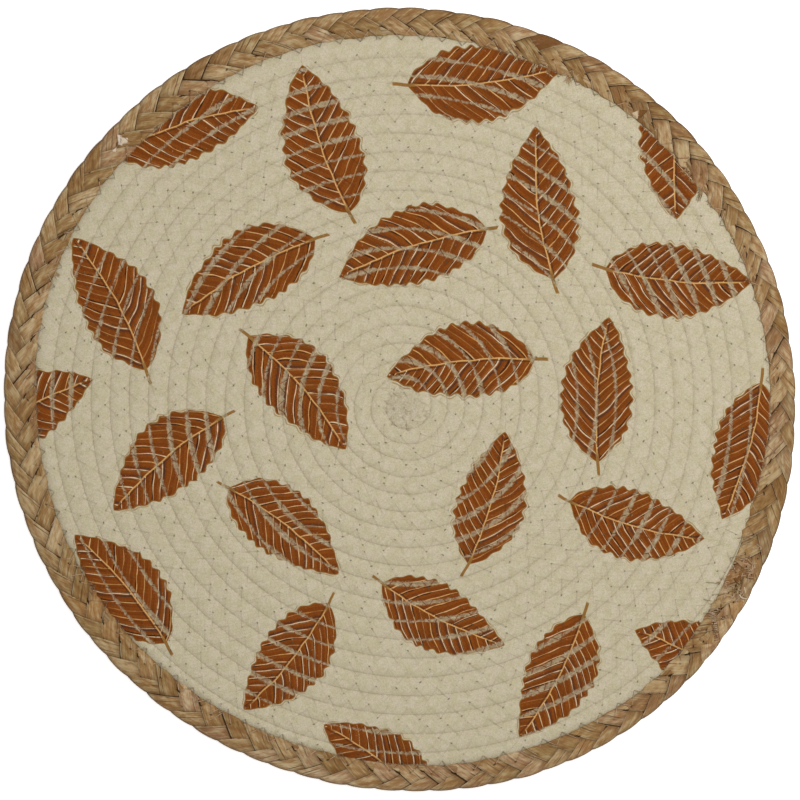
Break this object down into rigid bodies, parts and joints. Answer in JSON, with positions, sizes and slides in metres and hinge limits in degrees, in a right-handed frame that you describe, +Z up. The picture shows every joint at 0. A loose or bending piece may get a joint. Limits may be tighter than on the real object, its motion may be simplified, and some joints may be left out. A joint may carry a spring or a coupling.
{
  "type": "fabric placemat",
  "caption": "Round placemat of coiled cotton rope sewn flat, edged with a plaited leaf-strip border.",
  "frame": {"origin": "middle of the mat's underside, at the centre of the outline's bounding box", "axes": "+Z up through the mat's thickness; +X to the right and +Y to the top as the printed side is seen from above"},
  "size_m": [0.3826, 0.3786, 0.0079],
  "materials": {
    "cotton_rope": "matt cream braided cotton with sewn grooves and a rust leaf print",
    "leaf_strip": "tan dried leaf strips with a lengthwise grain and a faint sheen"
  },
  "bodies": {
    "root": {"rope_coil": "cotton_rope", "plaited_border": "leaf_strip"}
  },
  "joints": []
}
